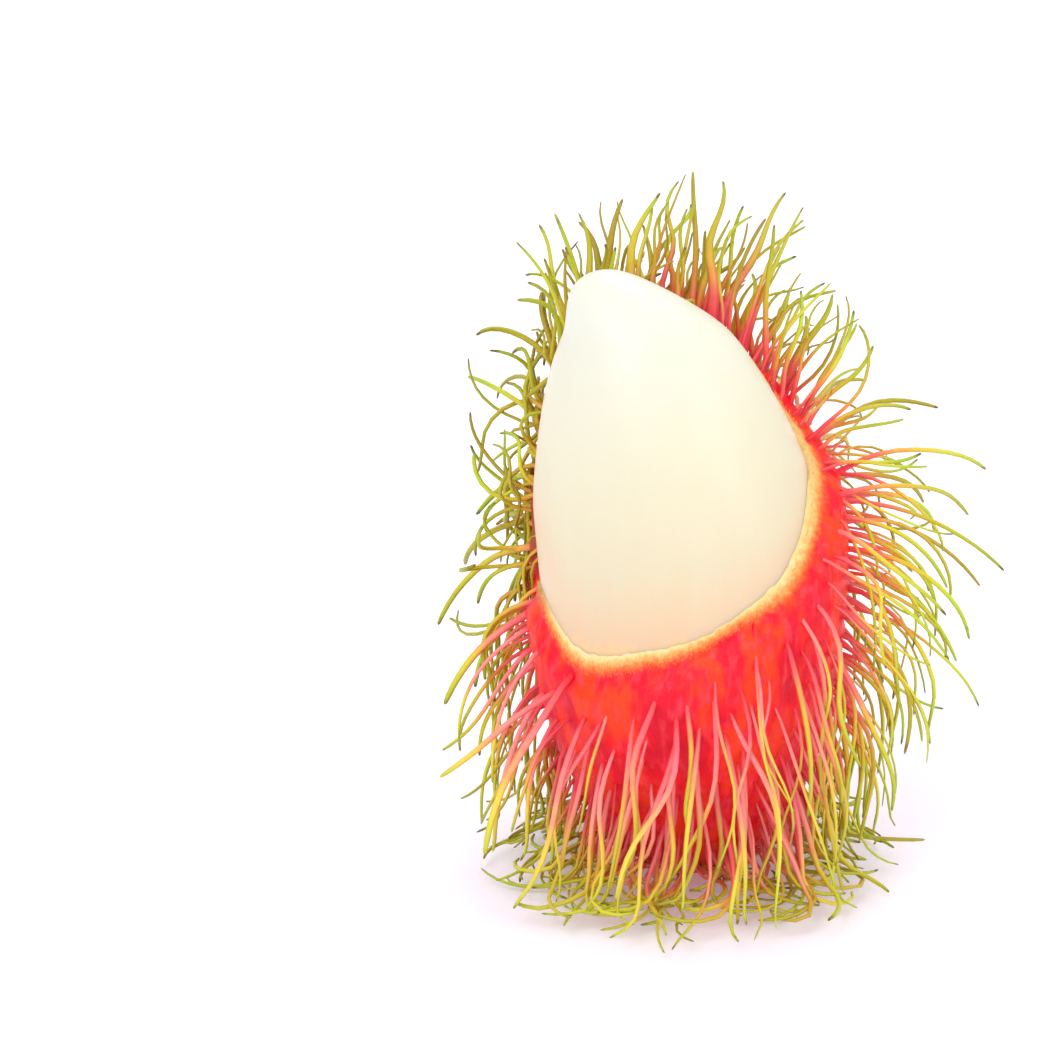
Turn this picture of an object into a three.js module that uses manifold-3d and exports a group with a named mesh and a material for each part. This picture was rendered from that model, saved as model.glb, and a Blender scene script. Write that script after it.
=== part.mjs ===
// A rambutan standing on its stalk end, with the rind pulled off its upper front.
// Millimetres, +Z up. The origin is the middle of the flat spot under the rind, and the
// peeled side faces -Y. Two pieces: the hairy rind, and the loose flesh that sits in it.
import * as THREE from "three";
import { mergeVertices } from "three/addons/utils/BufferGeometryUtils.js";
import Module from "manifold-3d";

const wasm = await Module();
wasm.setup();

// Heights of the fruit, and the sizes that all the rest follows
const GIRTH_HEIGHT = 38; // the widest ring, of rind and flesh alike
const ARIL_RADIUS = 14.15;
const ARIL_TOP = 62.5;
const ARIL_BOTTOM = 12;
const CAVITY_BOTTOM = 5;
const SEAT_GAP = 0.35; // the flesh has come loose from the rind
const RIND_WALL = 1.9;
const RIND_REACH = 38.6; // girth down to where the rind would close, under the flat spot
// How full each form is between its girth and its end: a dome's power and roundness
const CROWN = { power: 1.5, round: 0.53 };
const ARIL_SEAT = { power: 3, round: 0.5 };
const CAVITY_SEAT = { power: 2.6, round: 0.5 };
const RIND_SEAT = { power: 2.3, round: 0.5 };
// How far each stands to the left, and the heights between which it gets there
const RIND_LEAN = { by: 0.75, from: 4, to: 26 };
const ARIL_LEAN = { by: 0.6, from: 10, to: 30 }; // the flesh leans this much more
const ARIL_NOSE = { by: 2.35, from: 55.4, to: ARIL_TOP }; // and its crown comes to a point there
const BEND_START = 25; // above this height the fruit curves to the left
const BEND = 0.0036;

// The torn edge: a slanting plane with a wave round it, a tongue that stands up behind, and a
// notch at the left of the tongue
const RIM_HEIGHT = 37.2;
const RIM_SLOPE_X = 0.443;
const RIM_SLOPE_Y = 0.62;
const RIM_WAVES = [
  { height: 0.7, count: 5, start: 3.64 },
  { height: 0.42, count: 7, start: 3.68 },
];
const TONGUE_RISE = 12.5;
const TONGUE_START_Y = 5.3;
const TONGUE_FULL_Y = 11.3;
const TONGUE_SKEW = 0.1; // its foot turns a little towards the left
const NOTCH_DEPTH = 3;
const NOTCH_LEFT = [8, 14];
const NOTCH_Y = [-3, 5];
const CUTTER_RINGS = [0, 7, 10, 12, 14, 16.5, 30]; // close together where the edge runs
const CUTTER_SIDES = 44;
// Where the soft spines grow
const SITES = 374; // over the whole fruit, the peeled part included
const GOLDEN_ANGLE = Math.PI * (3 - Math.sqrt(5));
const SITE_JITTER = 1.1;
const LOWEST_SITE = 1.2;
const NARROWEST_RING = 2;
const RIM_MARGIN = 1.7;
const ROOT_DEPTH = 1.3;
const ROOT_SHARE = 0.12; // this much of a spine turns from straight out of the rind to its pose
const BASE_RADIUS = 0.92;
const BASE_SPREAD = 0.18;
const TIP_RADIUS = 0.28;
const TAPER = 1.25;
// How the spines stand. Angles are in degrees above the level, and droop is lost along the spine.
const LEVEL_HEIGHT = 36.5; // round the sides, spines above this point up and those below down
const UPPER = [38, 47]; // from the height where the upper law starts to where it holds fully
const TOPMOST = [46, 56]; // here the spines get shorter towards the top
const UNDERNEATH = [2, 14]; // and here towards the floor
const FRONT = [0.2, 0.9]; // how far round a side's law starts and holds, as a sine or cosine
const BEHIND = [0.1, 0.75];
const LEFT = [0.2, 0.8];
const RIGHT = [0, 0.6];
const RISE = { perMm: 3.2, most: 70, perMmBehind: 8, mostBehind: 78, crowdedLeft: 14 };
const RISE_LEAP = { by: 29, from: 40.5, to: 45.5 }; // they turn upwards quickly over these heights
const RISE_SPREAD = { low: 13, high: 20 };
const FALL = { perMm: 3.5, most: -66, front: -62 };
const DROOP = { low: 62, high: 40, behind: 20, front: 38, spreadLow: 22, spreadHigh: 34 };
const LENGTH = { low: 17, high: 12.5, top: 14.5, front: 20, spread: 3, underneath: 0.56 };
const LEFT_LENGTH = { share: 0.78, from: 22, to: 32 }; // on the left, higher up, they are shorter
const TURN = { start: 24, sweep: 36, hook: 95, hookShare: 0.35, curl: 130, curlShare: 0.4 };
const FLOOR_SWEEP = 70; // those near the floor swing round more
const FRONT_LEAN = { least: 0.05, most: 0.5 }; // the front ones hang a little to the left
const STEEPEST = -100;
const DROOP_POWER = 1.4;
const TIP_POWER = 4; // hooks and curls come in near the tip
const CURVE_STEPS = 24;
const ROWS = 4;
const FLOOR_LIFT = 0.03;
const LEVEL_LEAST = 0.3; // a spine that points down more than this at the floor turns outwards
const RING_SIDES = 28;
const PROFILE_ROWS = 15;
const DEG = Math.PI / 180;

const lerp = THREE.MathUtils.lerp;
const smooth = THREE.MathUtils.smoothstep;

// A fixed scatter from 0 to 1 for each spine and each use
function scatter(index, use) {
  const s = Math.sin(index * 127.1 + use * 311.7) * 43758.5453;
  return s - Math.floor(s);
}

const spread = (index, use) => 2 * scatter(index, use) - 1;

function dome(share, { power, round }) {
  return Math.pow(Math.max(0, 1 - Math.pow(share, power)), round);
}

const leaning = ({ by, from, to }, z) => -by * smooth(z, from, to);

function rindAxisX(z) {
  return leaning(RIND_LEAN, z) - BEND * Math.max(0, z - BEND_START) ** 2;
}

function arilAxisX(z) {
  return rindAxisX(z) + leaning(ARIL_LEAN, z) + leaning(ARIL_NOSE, z);
}

function arilRadius(z) {
  return z > GIRTH_HEIGHT
    ? ARIL_RADIUS * dome((z - GIRTH_HEIGHT) / (ARIL_TOP - GIRTH_HEIGHT), CROWN)
    : ARIL_RADIUS * dome((GIRTH_HEIGHT - z) / (GIRTH_HEIGHT - ARIL_BOTTOM), ARIL_SEAT);
}

function cavityRadius(z) {
  return z > GIRTH_HEIGHT
    ? arilRadius(z) + SEAT_GAP
    : (ARIL_RADIUS + SEAT_GAP) *
        dome((GIRTH_HEIGHT - z) / (GIRTH_HEIGHT - CAVITY_BOTTOM), CAVITY_SEAT);
}

function rindRadius(z) {
  return z > GIRTH_HEIGHT
    ? arilRadius(z) + SEAT_GAP + RIND_WALL
    : (ARIL_RADIUS + SEAT_GAP + RIND_WALL) * dome((GIRTH_HEIGHT - z) / RIND_REACH, RIND_SEAT);
}

function rimHeight(x, y) {
  const angle = Math.atan2(y, x);
  const reach = Math.hypot(x, y) / ARIL_RADIUS;
  const wave = RIM_WAVES.reduce(
    (sum, { height, count, start }) => sum + height * Math.sin(count * angle + start), 0);
  const tongue = TONGUE_RISE * smooth(y - TONGUE_SKEW * x, TONGUE_START_Y, TONGUE_FULL_Y);
  const notch = NOTCH_DEPTH * smooth(-x, ...NOTCH_LEFT) * smooth(y, ...NOTCH_Y);
  const plane = RIM_HEIGHT + RIM_SLOPE_X * x + RIM_SLOPE_Y * y;
  return plane + wave * reach + tongue - notch;
}

// A closed mesh as a solid that can be cut and joined
function solid(geometry) {
  const bare = new THREE.BufferGeometry();
  bare.setAttribute("position", geometry.getAttribute("position"));
  bare.setIndex(geometry.getIndex());
  const merged = mergeVertices(bare, 1e-4);
  return new wasm.Manifold(
    new wasm.Mesh({
      numProp: 3,
      vertProperties: merged.getAttribute("position").array,
      triVerts: new Uint32Array(merged.getIndex().array),
    }),
  );
}

function geometryOf(made) {
  const mesh = made.getMesh();
  const geometry = new THREE.BufferGeometry();
  geometry.setAttribute("position", new THREE.BufferAttribute(mesh.vertProperties, 3));
  geometry.setIndex(new THREE.BufferAttribute(mesh.triVerts, 1));
  geometry.computeVertexNormals();
  return geometry;
}

// A turned body that follows a curved axis. Rows lie closer towards its two ends.
function turned(radiusAt, axisX, bottom, top, rows = PROFILE_ROWS, sides = RING_SIDES) {
  const points = [new THREE.Vector2(0, bottom)];
  for (let row = 0; row <= rows; row++) {
    const share = (1 - Math.cos((Math.PI * row) / rows)) / 2;
    const z = lerp(bottom, top, share);
    const radius = radiusAt(z);
    if (radius > 0.2) points.push(new THREE.Vector2(radius, z));
  }
  points.push(new THREE.Vector2(0, top));
  const geometry = new THREE.LatheGeometry(points, sides);
  geometry.rotateX(Math.PI / 2);
  const place = geometry.getAttribute("position");
  for (let i = 0; i < place.count; i++) place.setX(i, place.getX(i) + axisX(place.getZ(i)));
  return solid(geometry);
}

// All that is above the torn edge: a disc in rings, whose underside takes the edge's height
function peeledAway() {
  const points = CUTTER_RINGS.map((reach) => new THREE.Vector2(reach, 0));
  points.push(new THREE.Vector2(CUTTER_RINGS.at(-1), 1), new THREE.Vector2(0, 1));
  const geometry = new THREE.LatheGeometry(points, CUTTER_SIDES);
  geometry.rotateX(Math.PI / 2);
  const place = geometry.getAttribute("position");
  const above = ARIL_TOP + 20;
  for (let i = 0; i < place.count; i++) {
    const low = place.getZ(i) < 0.5;
    place.setZ(i, low ? rimHeight(place.getX(i), place.getY(i)) : above);
  }
  return solid(geometry);
}

// Heights that share the rind's surface out evenly, from the share of it that lies below
function heightByArea() {
  const steps = 240;
  const heights = [0];
  const areas = [0];
  for (let step = 1; step <= steps; step++) {
    const low = (ARIL_TOP * (step - 1)) / steps;
    const high = (ARIL_TOP * step) / steps;
    const slant = Math.hypot(high - low, rindRadius(high) - rindRadius(low));
    const around = Math.PI * (rindRadius(high) + rindRadius(low));
    heights.push(high);
    areas.push(areas[step - 1] + slant * around);
  }
  return (share) => {
    const wanted = share * areas[steps];
    let step = 1;
    while (areas[step] < wanted) step++;
    const part = (wanted - areas[step - 1]) / (areas[step] - areas[step - 1]);
    return lerp(heights[step - 1], heights[step], part);
  };
}

// Where the spines grow: a sunflower spiral round the rind, shaken out of line
function spineSites() {
  const heightAt = heightByArea();
  const sites = [];
  for (let index = 0; index < SITES; index++) {
    const even = heightAt((index + 0.5) / SITES);
    const z = even + SITE_JITTER * spread(index, 1);
    const radius = rindRadius(z);
    if (z < LOWEST_SITE || radius < NARROWEST_RING) continue;
    const angle = index * GOLDEN_ANGLE + (SITE_JITTER * spread(index, 2)) / radius;
    const x = rindAxisX(z) + radius * Math.cos(angle);
    const y = radius * Math.sin(angle);
    if (z > rimHeight(x, y) - RIM_MARGIN) continue;
    sites.push({ index, angle, x, y, z });
  }
  return sites;
}

// How one spine leaves the rind and how it bends, in degrees, with its length
function spinePose({ index, angle, z }) {
  const front = smooth(-Math.sin(angle), ...FRONT);
  const behind = smooth(Math.sin(angle), ...BEHIND);
  const left = smooth(-Math.cos(angle), ...LEFT);
  const high = smooth(z, ...UPPER);
  const above = z - LEVEL_HEIGHT;
  const leap = RISE_LEAP.by * smooth(z, RISE_LEAP.from, RISE_LEAP.to) * (1 - behind);
  const free =
    above > 0
      ? Math.min(above * lerp(RISE.perMm, RISE.perMmBehind, behind) + leap,
          lerp(RISE.most, RISE.mostBehind, behind)) + RISE.crowdedLeft * left * high
      : Math.max(above * FALL.perMm, FALL.most);
  const droopHigh = lerp(DROOP.high, DROOP.behind, behind);
  const lengthHigh = lerp(LENGTH.high, LENGTH.top, smooth(z, ...TOPMOST));
  const aloft = smooth(z, ...UNDERNEATH);
  const lean = lerp(FRONT_LEAN.least, FRONT_LEAN.most, scatter(index, 20));
  const leftHigh = left * smooth(z, LEFT_LENGTH.from, LEFT_LENGTH.to);
  return {
    rise: lerp(free, FALL.front, front) +
      lerp(RISE_SPREAD.low, RISE_SPREAD.high, high) * spread(index, 3),
    droop:
      lerp(lerp(DROOP.low, droopHigh, high), DROOP.front, front) +
      lerp(DROOP.spreadLow, DROOP.spreadHigh, high) * spread(index, 4),
    hook: scatter(index, 5) < TURN.hookShare ? TURN.hook * spread(index, 6) : 0,
    turn: TURN.start * spread(index, 7),
    sweep: lerp(FLOOR_SWEEP, TURN.sweep, aloft) * spread(index, 8),
    curl: scatter(index, 9) < TURN.curlShare ? TURN.curl * spread(index, 10) : 0,
    lean: lean * front * (1 - smooth(Math.cos(angle), ...RIGHT)),
    length:
      (lerp(lerp(LENGTH.low, lengthHigh, high), LENGTH.front, front) +
        LENGTH.spread * spread(index, 11)) *
      lerp(LENGTH.underneath, 1, aloft) * lerp(1, LEFT_LENGTH.share, leftHigh),
  };
}

// The way straight out of the rind at a height and an angle round it
function outward(z, angle) {
  const reach = 0.2;
  const slope = (rindRadius(z + reach) - rindRadius(z - reach)) / (2 * reach);
  const bend = (rindAxisX(z + reach) - rindAxisX(z - reach)) / (2 * reach);
  const up = -slope - bend * Math.cos(angle);
  return new THREE.Vector3(Math.cos(angle), Math.sin(angle), up).normalize();
}

// The line of one spine: points from its root to its tip. What meets the floor runs on along it.
function spineLine(site) {
  const pose = spinePose(site);
  const normal = outward(site.z, site.angle);
  const start = new THREE.Vector3(site.x, site.y, site.z).addScaledVector(normal, -ROOT_DEPTH);
  const points = [start];
  const stride = (pose.length + ROOT_DEPTH) / CURVE_STEPS;
  for (let step = 1; step <= CURVE_STEPS; step++) {
    const t = (step - 0.5) / CURVE_STEPS;
    const droop = pose.droop * t ** DROOP_POWER;
    const tilt = Math.max(pose.rise - droop + pose.hook * t ** TIP_POWER, STEEPEST) * DEG;
    const heading = site.angle + (pose.turn + pose.sweep * t + pose.curl * t ** TIP_POWER) * DEG;
    const way = new THREE.Vector3(
      Math.cos(heading) * Math.cos(tilt) - pose.lean * t,
      Math.sin(heading) * Math.cos(tilt),
      Math.sin(tilt),
    ).normalize();
    if (t < ROOT_SHARE) way.lerp(normal, 0.5).normalize();
    const last = points[step - 1];
    const next = last.clone().addScaledVector(way, stride);
    const floor = spineRadius(site.index, step / CURVE_STEPS) + FLOOR_LIFT;
    if (next.z < floor) {
      const level = new THREE.Vector3(way.x, way.y, 0);
      if (level.length() < LEVEL_LEAST) level.set(Math.cos(site.angle), Math.sin(site.angle), 0);
      next.copy(last).addScaledVector(level.normalize(), stride);
      next.z = floor;
    }
    points.push(next);
  }
  return points;
}

function spineRadius(index, t) {
  const base = BASE_RADIUS * (1 + BASE_SPREAD * spread(index, 12));
  return TIP_RADIUS + (base - TIP_RADIUS) * (1 - t) ** TAPER;
}

// One spine as a three-sided cone with a few rows, laid along its line
function spineSolid(site) {
  const line = spineLine(site);
  const geometry = new THREE.CylinderGeometry(0, 1, 1, 3, ROWS);
  const place = geometry.getAttribute("position");
  const rows = [];
  let side = new THREE.Vector3(-Math.sin(site.angle), Math.cos(site.angle), 0);
  for (let row = 0; row <= ROWS; row++) {
    const step = (row * CURVE_STEPS) / ROWS;
    const along = line[Math.min(step + 1, CURVE_STEPS)].clone().sub(line[Math.max(step - 1, 0)]);
    along.normalize();
    side = side.clone().addScaledVector(along, -side.dot(along)).normalize();
    const over = new THREE.Vector3().crossVectors(along, side);
    rows.push({ at: line[step], side, over, radius: spineRadius(site.index, row / ROWS) });
  }
  const flat = new THREE.Vector3();
  for (let i = 0; i < place.count; i++) {
    const row = rows[Math.round((place.getY(i) + 0.5) * ROWS)];
    flat.set(place.getX(i), 0, place.getZ(i));
    if (flat.length() > 1e-6) flat.normalize();
    const point = row.at
      .clone()
      .addScaledVector(row.side, -flat.x * row.radius)
      .addScaledVector(row.over, flat.z * row.radius);
    place.setXYZ(i, point.x, point.y, point.z);
  }
  return solid(geometry);
}

// The largest body of a solid, with any hollow that lies sealed inside it filled
function wholeBody(made) {
  return made.decompose().reduce((most, next) => (next.volume() > most.volume() ? next : most));
}

function makeRind() {
  const outside = turned(rindRadius, rindAxisX, 0, ARIL_TOP);
  const cavity = turned(cavityRadius, arilAxisX, CAVITY_BOTTOM, ARIL_TOP + 0.5, 16, 28);
  const shell = outside.subtract(cavity).subtract(peeledAway());
  const spines = spineSites().map(spineSolid);
  return wholeBody(wasm.Manifold.union([shell, ...spines]));
}

function makeAril() {
  return turned(arilRadius, arilAxisX, ARIL_BOTTOM, ARIL_TOP, 26, 36);
}

function piece(name, made, colour, roughness) {
  const material = new THREE.MeshStandardMaterial({ color: colour, roughness, metalness: 0 });
  const mesh = new THREE.Mesh(geometryOf(made), material);
  mesh.name = name;
  return mesh;
}

const rambutan = new THREE.Group();
rambutan.add(piece("rind", makeRind(), 0xe3262f, 0.5));
rambutan.add(piece("aril", makeAril(), 0xf8f2dc, 0.35));

export default rambutan;
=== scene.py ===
# A partly peeled rambutan: the hairy rind, and the loose pale flesh that stands out of it.
# Sizes in the dictionaries are millimetres and degrees, and everything is built in metres.
import math
import bpy
from mathutils import Matrix, Vector, noise
from mathutils.kdtree import KDTree


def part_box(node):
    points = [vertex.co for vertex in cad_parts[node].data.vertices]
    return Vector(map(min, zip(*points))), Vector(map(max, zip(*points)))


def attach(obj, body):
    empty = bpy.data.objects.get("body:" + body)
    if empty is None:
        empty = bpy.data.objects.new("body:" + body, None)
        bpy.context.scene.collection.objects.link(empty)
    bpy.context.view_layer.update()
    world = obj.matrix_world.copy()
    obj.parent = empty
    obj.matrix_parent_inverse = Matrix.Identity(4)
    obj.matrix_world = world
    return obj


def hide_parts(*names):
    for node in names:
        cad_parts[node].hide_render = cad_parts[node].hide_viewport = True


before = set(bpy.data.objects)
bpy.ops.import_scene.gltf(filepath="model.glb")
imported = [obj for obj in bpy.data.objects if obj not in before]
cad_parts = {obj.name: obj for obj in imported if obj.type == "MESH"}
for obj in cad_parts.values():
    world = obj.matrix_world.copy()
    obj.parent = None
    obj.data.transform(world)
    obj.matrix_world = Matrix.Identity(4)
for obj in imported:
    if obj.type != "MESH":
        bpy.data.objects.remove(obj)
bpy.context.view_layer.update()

mm = 0.001
fleshLow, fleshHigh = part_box("aril")
goldenAngle = math.pi * (3 - math.sqrt(5))


def lerp(low, high, share):
    return low + (high - low) * share


def smooth(value, start, full):
    share = min(1, max(0, (value - start) / (full - start)))
    return share * share * (3 - 2 * share)


def scatter(index, use):
    # a fixed scatter from 0 to 1 for each spine and each use
    s = math.sin(index * 127.1 + use * 311.7) * 43758.5453
    return s - math.floor(s)


def spread(index, use):
    return 2 * scatter(index, use) - 1


# the fruit's own form, the same as the solids it stands for
fruit = {
    "girthHeight": 38,  # the widest ring, of rind and flesh alike
    "fleshRadius": 14.15, "fleshTop": fleshHigh.z / mm, "fleshBottom": fleshLow.z / mm,
    "cavityBottom": 5, "seatGap": 0.35, "rindWall": 1.9, "rindReach": 38.6,
    # how full each form is between its girth and its end: a dome's power and roundness
    "crown": (1.5, 0.53), "fleshSeat": (3, 0.5), "cavitySeat": (2.6, 0.5), "rindSeat": (2.3, 0.5),
    # how far each stands to the left, and the heights between which it gets there
    "rindLean": (0.75, 4, 26), "fleshLean": (0.6, 10, 30),
    "fleshNose": (2.35, 55.4, fleshHigh.z / mm),
    "bendStart": 25, "bend": 0.0036,  # above this height the fruit curves to the left
}
tear = {
    "height": 37.2, "slopeX": 0.443, "slopeY": 0.62,
    "waves": [(0.7, 5, 3.64), (0.42, 7, 3.68)],  # height, count round the edge and start
    "tongueRise": 12.5, "tongueStart": 5.3, "tongueFull": 11.3, "tongueSkew": 0.1,
    "notchDepth": 3, "notchLeft": (8, 14), "notchY": (-3, 5),
}


def dome(share, fullness):
    power, roundness = fullness
    return max(0, 1 - share ** power) ** roundness


def leaning(z, lean):
    by, start, full = lean
    return -by * smooth(z, start, full)


def rindAxisX(z):
    return leaning(z, fruit["rindLean"]) - fruit["bend"] * max(0, z - fruit["bendStart"]) ** 2


def fleshAxisX(z):
    return rindAxisX(z) + leaning(z, fruit["fleshLean"]) + leaning(z, fruit["fleshNose"])


def fleshRadius(z):
    girth = fruit["girthHeight"]
    if z > girth:
        share = min(1, (z - girth) / (fruit["fleshTop"] - girth))
        return fruit["fleshRadius"] * dome(share, fruit["crown"])
    share = min(1, (girth - z) / (girth - fruit["fleshBottom"]))
    return fruit["fleshRadius"] * dome(share, fruit["fleshSeat"])


def cavityRadius(z):
    girth = fruit["girthHeight"]
    if z > girth:
        return fleshRadius(z) + fruit["seatGap"]
    share = min(1, (girth - z) / (girth - fruit["cavityBottom"]))
    return (fruit["fleshRadius"] + fruit["seatGap"]) * dome(share, fruit["cavitySeat"])


def rindRadius(z):
    wall = fruit["seatGap"] + fruit["rindWall"]
    girth = fruit["girthHeight"]
    if z > girth:
        return fleshRadius(z) + wall
    share = (girth - z) / fruit["rindReach"]
    return (fruit["fleshRadius"] + wall) * dome(share, fruit["rindSeat"])


def rimHeight(x, y):
    angle = math.atan2(y, x)
    reach = math.hypot(x, y) / fruit["fleshRadius"]
    wave = sum(height * math.sin(count * angle + start) for height, count, start in tear["waves"])
    inwards = y - tear["tongueSkew"] * x
    tongue = tear["tongueRise"] * smooth(inwards, tear["tongueStart"], tear["tongueFull"])
    notch = tear["notchDepth"] * smooth(-x, *tear["notchLeft"]) * smooth(y, *tear["notchY"])
    plane = tear["height"] + tear["slopeX"] * x + tear["slopeY"] * y
    return plane + wave * reach + tongue - notch


def outward(z, angle):
    # the way straight out of the rind
    reach = 0.2  # how far up and down the slope is measured
    slope = (rindRadius(z + reach) - rindRadius(z - reach)) / (2 * reach)
    bend = (rindAxisX(z + reach) - rindAxisX(z - reach)) / (2 * reach)
    up = -slope - bend * math.cos(angle)
    return Vector((math.cos(angle), math.sin(angle), up)).normalized()


# small helpers for objects
def deselectAll():
    if bpy.context.mode != "OBJECT":
        bpy.ops.object.mode_set(mode="OBJECT")
    bpy.ops.object.select_all(action="DESELECT")


def editAll():
    bpy.ops.object.mode_set(mode="EDIT")
    bpy.ops.mesh.select_all(action="SELECT")


def newest(name):
    piece = bpy.context.active_object
    piece.name = name
    piece.data.name = name
    return piece


def makeActive(piece):
    deselectAll()
    piece.select_set(True)
    bpy.context.view_layer.objects.active = piece


def standingCone(name, sides, radius, tall):
    # with its foot at the origin
    deselectAll()
    bpy.ops.mesh.primitive_cone_add(
        vertices=sides, radius1=radius, radius2=0, depth=tall, location=(0, 0, tall / 2))
    bpy.ops.object.transform_apply(location=True, rotation=False, scale=False)
    return newest(name)


def faceOutwards():
    editAll()
    bpy.ops.mesh.normals_make_consistent(inside=False)
    bpy.ops.object.mode_set(mode="OBJECT")
    bpy.ops.object.shade_smooth()


def pointValues(mesh, name, values):
    layer = mesh.attributes.new(name, "FLOAT", "POINT")
    layer.data.foreach_set("value", values)


# materials
def linear(hexColour):
    channels = []
    for start in (1, 3, 5):
        value = int(hexColour[start:start + 2], 16) / 255
        channels.append(value / 12.92 if value <= 0.04045 else ((value + 0.055) / 1.055) ** 2.4)
    return (*channels, 1)


def perMetre(sizeMm):
    # the scale of a pattern whose features are this many millimetres apart
    return 1 / (sizeMm * mm)


def addNode(tree, kind, settings=None, links=None):
    # a node given as a link stands for its first output
    node = tree.nodes.new("ShaderNode" + kind)
    for name, value in (settings or {}).items():
        if name == "stops":
            elements = node.color_ramp.elements
            for extra in range(len(value) - len(elements)):
                elements.new(0.5)
            for element, (place, colour) in zip(elements, value):
                element.position = place
                element.color = linear(colour)
        elif isinstance(name, str) and hasattr(node, name):
            setattr(node, name, value)
        else:
            node.inputs[name].default_value = value
    for name, source in (links or {}).items():
        if isinstance(source, bpy.types.Node):
            source = next(socket for socket in source.outputs if socket.enabled)
        tree.links.new(source, node.inputs[name])
    return node


def newMaterial(name):
    material = bpy.data.materials.new(name)
    material.use_nodes = True
    material.node_tree.nodes.clear()
    return material, material.node_tree


def shifted(tree, value, pattern, amount):
    # the value, with up to half the amount added or taken away by the pattern
    shift = addNode(tree, "Math", {"operation": "MULTIPLY_ADD", 1: amount, 2: -amount / 2},
                    {0: pattern})
    return addNode(tree, "Math", {"operation": "ADD"}, {0: value, 1: shift})


def finishMaterial(tree, shader):
    addNode(tree, "OutputMaterial", {}, {"Surface": shader})


# Living rambutan rind, grown: a thin leathery skin with a dull wax on it. It gives the eye a deep
# red that clouds into orange-red, a soft broad shine, and a pale fibrous pith where it is torn.
skinLook = {
    "deepRed": "#DE082C", "red": "#F40A2A", "orangeRed": "#FF3E14", "rosy": "#FF4A58",
    # painted shade: the brown of the skin's left side, high up, stands for the shade there
    "shadedSideBrown": "#8A5420", "stalkScar": "#6E4A2A",
    "tearOrange": "#FF9648", "pith": "#FFD68C", "inside": "#FFE2B8",
    "cloudSize": 2.6, "streakSize": 0.9,
    "drawnOut": 0.3,  # clouds and streaks run up the fruit, and are this narrow for their length
    "speckSize": 0.5, "specks": 0.35,
    "raggedness": 0.35,  # how far the specks break up the colours of the torn edge
    "grainSize": 0.35,
    "roughness": (0.32, 0.62),
}


def makeSkinMaterial():
    look = skinLook
    material, tree = newMaterial("waxedRambutanSkin")
    place = addNode(tree, "TexCoord").outputs["Object"]
    drawn = addNode(tree, "Mapping", {"Scale": (1, 1, look["drawnOut"])}, {"Vector": place})
    streak = addNode(tree, "TexNoise", {
        "Scale": perMetre(look["streakSize"]), "Detail": 2, "Roughness": 0.5}, {"Vector": drawn})
    cloud = addNode(tree, "TexNoise", {
        "Scale": perMetre(look["cloudSize"]), "Detail": 3, "Roughness": 0.55}, {"Vector": drawn})
    speck = addNode(tree, "TexNoise", {
        "Scale": perMetre(look["speckSize"]), "Detail": 2}, {"Vector": place})
    grain = addNode(tree, "TexNoise", {
        "Scale": perMetre(look["grainSize"]), "Detail": 4}, {"Vector": place})
    clouded = addNode(tree, "ValToRGB", {"stops": [
        (0.36, look["deepRed"]), (0.46, look["red"]), (0.6, look["orangeRed"])]}, {"Fac": cloud})
    rosyShare = addNode(tree, "MapRange", {
        "From Min": 0.5, "From Max": 0.72, "To Max": 0.6}, {"Value": streak})
    base = addNode(tree, "Mix", {"data_type": "RGBA", 7: linear(look["rosy"])},
                   {0: rosyShare, 6: clouded})
    flecked = addNode(tree, "Mix", {
        "data_type": "RGBA", "blend_type": "SOFT_LIGHT", 0: look["specks"]},
        {6: base, 7: speck.outputs["Color"]})
    torn, shade, scar = [addNode(tree, "Attribute", {"attribute_name": name}).outputs["Fac"]
                         for name in ("torn", "shade", "scar")]
    ragged = shifted(tree, torn, speck, look["raggedness"])
    tearColour = addNode(tree, "ValToRGB", {"stops": [
        (0.2, look["orangeRed"]), (0.52, look["tearOrange"]), (0.8, look["pith"]),
        (1.0, look["inside"])]}, {"Fac": ragged})
    tornShare = addNode(tree, "MapRange", {
        "From Min": 0.1, "From Max": 0.6, "interpolation_type": "SMOOTHSTEP"}, {"Value": ragged})
    colour = addNode(tree, "Mix", {"data_type": "RGBA"}, {0: tornShare, 6: flecked, 7: tearColour})
    # painted shade: the brown of the left side, high up; the stalk's scar is the rind's own stain
    for share, darkening in ((shade, "shadedSideBrown"), (scar, "stalkScar")):
        colour = addNode(tree, "Mix", {"data_type": "RGBA", 7: linear(look[darkening])},
                         {0: share, 6: colour})
    bump = addNode(tree, "Bump", {"Strength": 0.5, "Distance": 0.12 * mm}, {"Height": grain})
    smoothest, roughest = look["roughness"]
    rough = addNode(tree, "MapRange", {"To Min": smoothest, "To Max": roughest}, {"Value": grain})
    shader = addNode(tree, "BsdfPrincipled", {
        "IOR": 1.33, "Subsurface Weight": 0.25, "Subsurface Scale": 0.8 * mm,
        "Subsurface Radius": (1.0, 0.4, 0.2)},
        {"Base Color": colour, "Roughness": rough, "Normal": bump})
    finishMaterial(tree, shader)
    return material


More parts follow.
